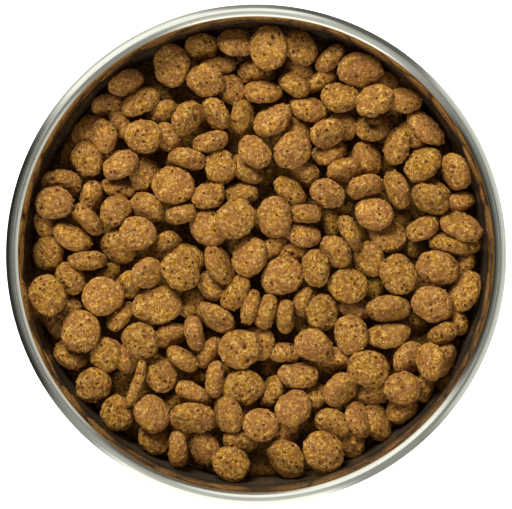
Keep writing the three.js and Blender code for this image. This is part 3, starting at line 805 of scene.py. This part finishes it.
def kibble_material():
    """Baked kibble: golden brown, mottled with purple brown, with light flecks, and with painted shade in
    its pores and hollows and on its deep pieces.
    """
    material = bpy.data.materials.new("kibble_baked")
    n = Nodes(material)
    place = n.object_place()
    tone_and_shade = n.attribute("tone_and_shade")
    relief = n.attribute("relief")
    patch = n.noise(place, PATCHES, 4, 0.65)["Fac"]
    mottles = n.noise(place, MOTTLES, 4, 0.7)
    mottle = mottles["Fac"]
    grain = n.noise(place, GRAINS, 2, 0.7)["Fac"]
    drift = n.add("VectorMath", {0: mottles["Color"], 1: (DRIFT, DRIFT, DRIFT)}, operation="MULTIPLY")
    drifted = n.add("VectorMath", {0: place, 1: drift.outputs[0]}, operation="ADD").outputs[0]

    # The golden brown ground and its purple patches, which are less on the pale spots
    blend = n.plus(n.times(mottle, MOTTLE_SHARE), n.times(grain, GRAIN_SHARE))
    brown = [(0.38, linear(KIBBLE_DARK)), (0.5, linear(KIBBLE_GOLDEN)), (0.62, linear(KIBBLE_PALE))]
    base = n.ramp(blend, *brown)
    patch = n.plus(patch, n.times(tone_and_shade, PATCH_BY_TONE))
    dusky = n.ramp(blend, (0.46, 1.0), (0.62, 0.5))
    purple = n.times(n.ramp(patch, (0.48, 0.0), (0.6, 0.75)), dusky)
    base = n.mix(purple, base, linear(KIBBLE_PURPLE))

    # Small light flecks in some of the cells
    distance, cell = n.cells(drifted, FLECKS)
    chosen = n.math("GREATER_THAN", cell[0], FLECK_RARITY)
    flecks = n.times(n.fade(distance, *FLECK_FADE), chosen)
    base = n.mix(n.times(flecks, FLECK_STRENGTH), base, linear(KIBBLE_FLECK))

    # Pores of uneven size, sunk in the bump and painted dark as the shade in them, fewer on the kibbles
    # with a light tone
    distance, cell = n.cells(drifted, PORES)
    reach = n.plus(distance, n.times(cell[2], PORE_UNEVEN))
    chosen = n.math("GREATER_THAN", cell[1], n.plus(n.times(tone_and_shade, PORE_BY_TONE), PORE_RARITY))
    pores = n.times(n.fade(reach, *PORE_FADE), chosen)
    base = n.mix(n.times(pores, PORE_SHADE_STRENGTH), base, linear(KIBBLE_PORE_SHADE))

    # Painted shade in the hollows, darker where the relief sinks, and the tone of each kibble, which is
    # painted shade on the deep kibbles and the core
    hollow_shade = {"Value": relief, "From Min": -0.7, "From Max": -0.1, "To Min": 0.85, "To Max": 0.0}
    base = n.mix(n.add("MapRange", hollow_shade).outputs[0], base, linear(KIBBLE_HOLLOW_SHADE))
    level = n.add("MapRange", {"Value": tone_and_shade, "To Min": 0.86, "To Max": 1.12}, clamp=False).outputs[0]
    grey = n.add("CombineColor", {0: level, 1: level, 2: level}).outputs[0]
    base = n.mix(1.0, base, grey, "MULTIPLY")

    height = n.plus(mottle, n.times(grain, GRAIN_HEIGHT))
    height = n.plus(height, n.times(flecks, FLECK_HEIGHT))
    height = n.math("SUBTRACT", height, n.times(pores, PORE_DEPTH))
    bump = n.add("Bump", {"Height": height, "Distance": 0.001, "Strength": 0.9}).outputs[0]
    look = {"Base Color": base, "Normal": bump, "Roughness": 0.5, "Specular IOR Level": 0.2}
    n.add("OutputMaterial", {"Surface": n.add("BsdfPrincipled", look).outputs[0]})
    return material


def steel_material():
    """Polished stainless steel, with fine lines round the axis from spinning and a painted dim brown
    reflection of the kibble inside.
    """
    material = bpy.data.materials.new("steel_polished")
    n = Nodes(material)
    place = n.object_place()
    x, y, z = n.add("SeparateXYZ", {0: place}).outputs
    radius = n.math("SQRT", n.plus(n.times(x, x), n.times(y, y)))
    wander = {0: radius, 1: n.times(x, SPIN_WANDER), 2: n.plus(z, n.times(y, SPIN_WANDER))}
    lines = n.noise(n.add("CombineXYZ", wander).outputs[0], SPIN_LINES, 2, 0.6)["Fac"]
    colour = n.ramp(lines, (0.3, linear(STEEL_DULL)), (0.7, linear(STEEL_BRIGHT)))
    # The inner wall is tinted brown and partly matt: a painted reflection of the kibble
    painted_reflection = n.times(n.attribute("painted_reflection"), PAINTED_REFLECTION_STRENGTH)
    colour = n.mix(painted_reflection, colour, linear(STEEL_PAINTED_REFLECTION))

    # Small dark marks on the bead, where it is worn
    turn = n.times(n.math("ARCTAN2", y, x), RIM_DIAMETER / 2 * MM)
    mark_place = n.add("CombineXYZ", {0: turn, 1: n.times(radius, MARK_LENGTH)}).outputs[0]
    marks = n.ramp(n.noise(mark_place, MARKS, 1)["Fac"], (0.66, 0.0), (0.72, 1.0))
    worn = n.ramp(n.noise(place, WORN_PLACES, 1)["Fac"], (0.52, 0.0), (0.6, 0.28))
    on_bead = n.math("GREATER_THAN", z, (BOWL_HEIGHT - BEAD_DIAMETER) * MM)
    colour = n.mix(n.times(n.times(marks, worn), on_bead), colour, linear(STEEL_MARK))

    stains = n.noise(place, STAINS, 4)["Fac"]
    dullness = {"Value": stains, "From Min": 0.35, "From Max": 0.65, "To Min": 0.1, "To Max": 0.16}
    look = {
        "Base Color": colour,
        "Metallic": n.math("SUBTRACT", 1.0, n.times(painted_reflection, PAINTED_REFLECTION_MATT)),
        "Roughness": n.add("MapRange", dullness).outputs[0],
        "Anisotropic": 0.5,
        "Anisotropic Rotation": 0.25,
        "Tangent": n.add("Tangent", direction_type="RADIAL", axis="Z").outputs[0],
        "Normal": n.add("Bump", {"Height": lines, "Distance": 0.00002, "Strength": 0.5}).outputs[0],
    }
    n.add("OutputMaterial", {"Surface": n.add("BsdfPrincipled", look).outputs[0]})
    return material


def floor_material():
    """A floor that the camera sees as white and the steel as grey, and that keeps its shadow."""
    material = bpy.data.materials.new("floor_white")
    n = Nodes(material)
    rays = n.add("LightPath").outputs
    seen = n.math("MAXIMUM", rays["Is Camera Ray"], rays["Is Transmission Ray"])
    seen = n.math("MAXIMUM", seen, n.times(rays["Is Glossy Ray"], FLOOR_IN_GLOSS))
    paper = n.add("BsdfDiffuse", {"Color": FLOOR_WHITE}).outputs[0]
    glow = n.add("Emission", {"Color": WHITE, "Strength": seen}).outputs[0]
    n.add("OutputMaterial", {"Surface": n.add("AddShader", {0: paper, 1: glow}).outputs[0]})
    return material


def studio_material():
    """The greys of the cards round the bowl."""
    material = bpy.data.materials.new("studio_cards")
    n = Nodes(material)
    glow = n.add("Emission", {"Color": WHITE, "Strength": n.attribute("grey")}).outputs[0]
    n.add("OutputMaterial", {"Surface": glow})
    return material


# The object's pieces
def build_bowl():
    """The bowl's fine surface, with a number that says where the painted reflection lies: inside, under
    the bead.
    """
    outline = bowl_outline()
    half = len(outline) // 2
    painted_reflection = np.clip((BOWL_HEIGHT - PAINTED_REFLECTION_BELOW_RIM - outline[half:, 1]) / PAINTED_REFLECTION_EDGE, 0, 1)
    painted_reflection[:BEAD_STEPS] = 0
    painted_reflection = np.concatenate([np.zeros(half), painted_reflection])
    points, faces = turned(outline, BOWL_SEGMENTS)
    painted_reflection = np.concatenate([painted_reflection[[0, -1]], np.tile(painted_reflection[1:-1], BOWL_SEGMENTS)])
    bowl = make_piece("bowl_steel", points, faces, steel_material(), {"painted_reflection": painted_reflection})
    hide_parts("bowl")


def build_loose(heap, material):
    """The loose kibbles and the flake, each in place of its own solid."""
    names = sorted(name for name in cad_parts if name.startswith("kibble_") and name != "kibble_bed")
    for number, name in enumerate(names):
        pose = node_pose(name)
        pose["half"] = pose["half"] * FINE_GROWTH
        if name == "kibble_flake":
            pose["half"] = pose["half"] * FLAKE_GROWTH
            pose["calm"] = FLAKE_CALM
            pose["bend"] = FLAKE_BEND
        heap.add(pose)
        piece_name = "loose_" + name.split("_")[1]
        seed = LOOSE_SEED + number
        piece = make_kibbles(piece_name, [pose], LOOSE_CUTS, seed, material, crumbs=LOOSE_CRUMBS)
        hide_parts(name)


def build_bedded(heap, draws, material):
    """The wedged and the half-hidden kibbles, in place of the bed."""
    bedded = [bedded_pose(row, 1, draws) for row in HALF_HIDDEN]
    bedded += [bedded_pose(row, 0, draws) for row in WEDGED]
    for pose in bedded:
        heap.add(pose)
    for index, group in enumerate(np.array_split(np.arange(len(bedded)), BEDDED_PIECES)):
        poses = [bedded[k] for k in group]
        name = f"bedded_{index + 1}"
        seed = BEDDED_SEED + index
        piece = make_kibbles(name, poses, BEDDED_CUTS, seed, material, crumbs=BEDDED_CRUMBS)
        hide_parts("kibble_bed")


def fill_pose(heap, draws):
    """A pose at random that rises to just under the heap, or None where the wall is in its way."""
    away = heap_radius * math.sqrt(draws.next())
    angle = 2 * math.pi * draws.next()
    length = KIBBLE_DIAMETER * draws.share(*FILL_LENGTH)
    width = length * draws.share(*FILL_WIDTH)
    row = [away * math.cos(angle), away * math.sin(angle), length, width, 180 * draws.next()]
    return risen(pose_from_row(row, draws, 1.0), heap)


def build_deep(heap, draws, material):
    """The deeper kibbles: those that show through gaps, and more that fill the gaps under them."""
    deep = []
    for row in DEEP:
        pose = risen(pose_from_row(row, draws), heap)
        if pose:
            deep.append(pose)
            heap.add(pose)
    lowest = BOWL_HEIGHT - HEAP_BELOW_RIM - FILL_DEPTH
    for _ in range(FILL_KIBBLES):
        tries = [fill_pose(heap, draws) for _ in range(FILL_TRIES)]
        best = max((pose for pose in tries if pose), key=lambda pose: pose["centre"][2], default=None)
        if best and best["centre"][2] > lowest:
            deep.append(best)
            heap.add(best)
    for index, group in enumerate(np.array_split(np.arange(len(deep)), DEEP_PIECES)):
        poses = [deep[k] for k in group]
        name = f"deep_{index + 1}"
        # The deep kibbles take the darker tones: painted shade
        piece = make_kibbles(name, poses, DEEP_CUTS, DEEP_SEED + index, material, DEEP_SHADE_TONES)
        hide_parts("kibble_bed")


def build_core(material):
    """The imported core, in place of the bed's lower part."""
    points, faces = core_surface()
    flat = np.zeros(len(points))
    # A low tone and relief paint the core dark: painted shade
    attributes = {"relief": flat + CORE_SHADE_RELIEF, "tone_and_shade": flat + CORE_SHADE_TONE}
    core = make_piece("kibble_core", points, faces, material, attributes)
    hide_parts("kibble_bed")


# Stage: floor, light, camera, and the cards that the steel reflects
def direction(azimuth, elevation):
    """The unit vector that points that way, from angles in degrees."""
    a, e = math.radians(azimuth), math.radians(elevation)
    return Vector((math.cos(a) * math.cos(e), math.sin(a) * math.cos(e), math.sin(e)))


def build_floor():
    """The plain floor that the bowl stands on."""
    corners = [(-1, -1), (1, -1), (1, 1), (-1, 1)]
    points = [(x * FLOOR_REACH, y * FLOOR_REACH, 0) for x, y in corners]
    make_object("floor", points, [(0, 1, 2, 3)], floor_material())


def build_world():
    """A white world to the camera, gloss and glass, and an even soft light on matt surfaces."""
    world = bpy.data.worlds.new("world")
    bpy.context.scene.world = world
    n = Nodes(world)
    rays = n.add("LightPath").outputs
    seen = n.math("MAXIMUM", rays["Is Camera Ray"], rays["Is Glossy Ray"])
    seen = n.math("MAXIMUM", seen, rays["Is Transmission Ray"])
    strength = n.add("MapRange", {"Value": seen, "To Min": AMBIENT, "To Max": 1.0}).outputs[0]
    white = n.add("Background", {"Color": WHITE, "Strength": strength}).outputs[0]
    n.add("OutputWorld", {"Surface": white})


def build_lamps():
    """The soft lamps, which gloss doesn't show."""
    for name, (azimuth, elevation, distance, width, power) in LAMPS.items():
        light = bpy.data.lights.new(name, "AREA")
        light.shape = "DISK"
        light.size = width
        light.energy = power
        lamp = bpy.data.objects.new(name, light)
        away = direction(azimuth, elevation)
        lamp.location = away * distance
        lamp.rotation_euler = away.to_track_quat("Z", "Y").to_euler()
        lamp.visible_glossy = False
        bpy.context.scene.collection.objects.link(lamp)


def studio_grey(azimuth, elevation):
    """The grey in a direction: each card lies over those before it, with soft edges."""
    grey = np.full(np.broadcast(azimuth, elevation).shape, STUDIO_GREY)
    for middle, spread, low, high, value in CARDS.values():
        away = np.abs((azimuth - middle + 180) % 360 - 180)
        across = np.clip((spread - away) / SOFT_SIDE + 0.5, 0, 1)
        above_low = np.clip((elevation - low) / SOFT_END + 0.5, 0, 1)
        below_high = np.clip((high - elevation) / SOFT_END + 0.5, 0, 1)
        grey += (value - grey) * across * (above_low * below_high)
    return grey


def build_studio():
    """A dome of cards that stands on the floor round the bowl and that only gloss shows."""
    turns = np.arange(0, 360, STUDIO_STEP)
    rises = [0, 0, *range(STUDIO_STEP, STUDIO_TOP - 1, STUDIO_STEP), STUDIO_TOP]
    reach = [STUDIO_INSIDE] + [STUDIO_RADIUS * math.cos(math.radians(rise)) for rise in rises[1:]]
    height = [STUDIO_RADIUS * math.sin(math.radians(rise)) + STUDIO_LIFT for rise in rises]
    points = [(r * math.cos(math.radians(turn)), r * math.sin(math.radians(turn)), z)
              for r, z in zip(reach, height) for turn in turns]
    row = len(turns)
    faces = [(j * row + k, j * row + (k + 1) % row, (j + 1) * row + (k + 1) % row, (j + 1) * row + k)
             for j in range(len(rises) - 1) for k in range(row)]
    grey = studio_grey(turns[None, :], np.array(rises)[:, None]).reshape(-1)
    studio = make_object("studio_cards", points, faces, studio_material(), {"grey": grey})
    studio.visible_camera = False
    studio.visible_diffuse = False
    studio.visible_shadow = False
    studio.visible_transmission = False


def build_camera():
    """The camera straight above, with the rim as wide in its frame as in the photograph."""
    scene = bpy.context.scene
    widest_height = BOWL_HEIGHT - BEAD_DIAMETER / 2
    distance = CAMERA_ABOVE_RIM + BEAD_DIAMETER / 2
    pixel = RIM_DIAMETER / RIM_WIDTH
    lens = bpy.data.cameras.new("camera")
    lens.sensor_width = SENSOR
    lens.lens = SENSOR * distance / (PHOTO_WIDTH * pixel)
    lens.clip_start = NEAREST_SEEN
    lens.clip_end = FARTHEST_SEEN
    camera = bpy.data.objects.new("camera", lens)
    aside = (-RIM_RIGHT_OF_MIDDLE * pixel * MM, -RIM_ABOVE_MIDDLE * pixel * MM)
    camera.location = (*aside, (widest_height + distance) * MM)
    scene.collection.objects.link(camera)
    scene.camera = camera
    scene.view_settings.view_transform = "Standard"


build_bowl()
kibble_look = kibble_material()
laid = Heap()
tilts = Draws(DRAWS_START)
build_loose(laid, kibble_look)
build_bedded(laid, tilts, kibble_look)
build_deep(laid, tilts, kibble_look)
build_core(kibble_look)
build_floor()
build_world()
build_lamps()
build_studio()
build_camera()
